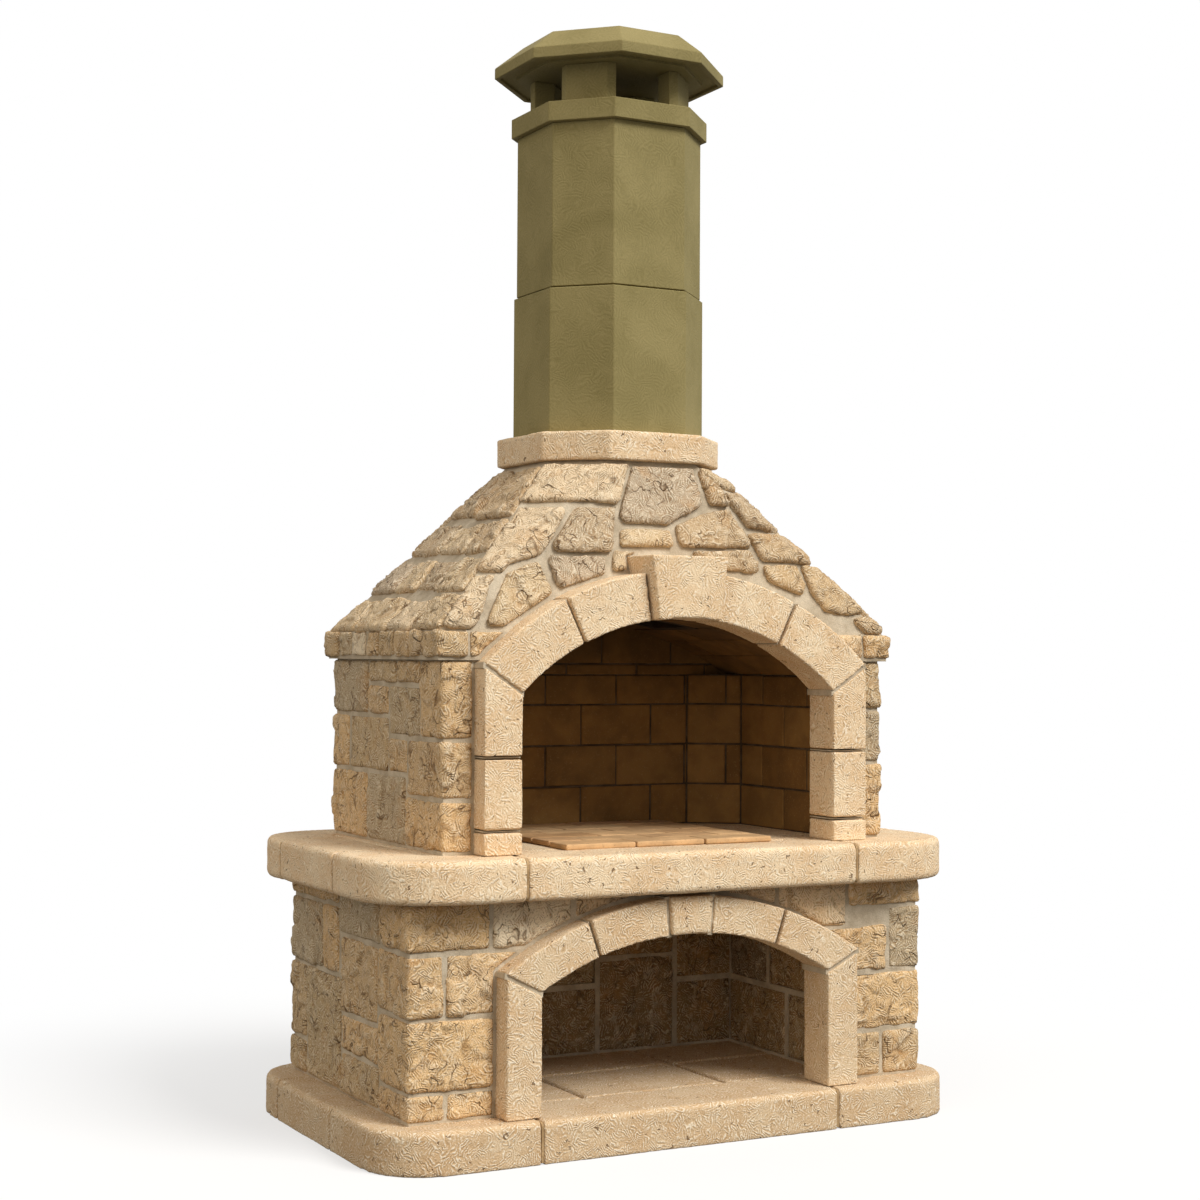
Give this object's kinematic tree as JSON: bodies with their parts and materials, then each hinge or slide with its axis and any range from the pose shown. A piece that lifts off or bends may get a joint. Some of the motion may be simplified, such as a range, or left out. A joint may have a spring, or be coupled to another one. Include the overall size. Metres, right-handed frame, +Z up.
{
  "type": "masonry barbecue",
  "caption": "Free-standing stone barbecue with an arched log store, an arched firebrick fire chamber over a projecting ledge, a stone hood and a chimney with a cowl.",
  "frame": {"origin": "centre of the footprint, on the ground under the plinth", "axes": "+Z up along the chimney, -Y out of the arched openings, +X to the right seen from the front"},
  "size_m": [1.682, 1, 2.863],
  "materials": {
    "cast_stone": "bush-hammered",
    "split_stone": "split face",
    "mortar": "matte",
    "firebrick": "matte",
    "clay_paver": "matte",
    "green_render": "matte",
    "concrete": "matte",
    "insulation_board": "matte"
  },
  "bodies": {
    "root": {"base_infill": "concrete", "chimney_collar": "cast_stone", "chimney_lower": "green_render", "chimney_upper": "green_render", "cowl_band": "green_render", "cowl_cap": "green_render", "cowl_piers": "green_render", "dressed_joint_mortar": "mortar", "eaves_stones": "split_stone", "firebrick_back": "firebrick", "firebrick_mortar": "mortar", "firebrick_sides": "firebrick", "firebrick_vault": "firebrick", "hearth_pavers": "clay_paver", "hearth_slab": "cast_stone", "hood_facing_front": "split_stone", "hood_facing_left": "split_stone", "hood_facing_rear": "split_stone", "hood_facing_right": "split_stone", "hood_mortar": "mortar", "hood_shell": "concrete", "insulation_boards": "insulation_board", "ledge_front_left_corner": "cast_stone", "ledge_front_right_corner": "cast_stone", "ledge_front_stone": "cast_stone", "ledge_left_stone": "cast_stone", "ledge_rear_left_corner": "cast_stone", "ledge_rear_right_corner": "cast_stone", "ledge_rear_stone": "cast_stone", "ledge_right_stone": "cast_stone", "log_store_floor_slabs": "cast_stone", "log_store_lining_stones": "split_stone", "lower_arch_stones": "cast_stone", "lower_core_blocks": "concrete", "lower_facing_front": "split_stone", "lower_facing_left": "split_stone", "lower_facing_rear": "split_stone", "lower_facing_right": "split_stone", "lower_jamb_left": "cast_stone", "lower_jamb_right": "cast_stone", "lower_keystone": "cast_stone", "lower_mortar": "mortar", "plinth_front_left_corner": "cast_stone", "plinth_front_right_corner": "cast_stone", "plinth_front_stone": "cast_stone", "plinth_left_stone": "cast_stone", "plinth_rear_left_corner": "cast_stone", "plinth_rear_right_corner": "cast_stone", "plinth_rear_stone": "cast_stone", "plinth_right_stone": "cast_stone", "refractory_fill": "concrete", "throat_frame": "concrete", "upper_arch_stones": "cast_stone", "upper_facing_left": "split_stone", "upper_facing_rear": "split_stone", "upper_facing_right": "split_stone", "upper_jamb_left": "cast_stone", "upper_jamb_right": "cast_stone", "upper_keystone": "cast_stone", "upper_mortar": "mortar"}
  },
  "joints": []
}
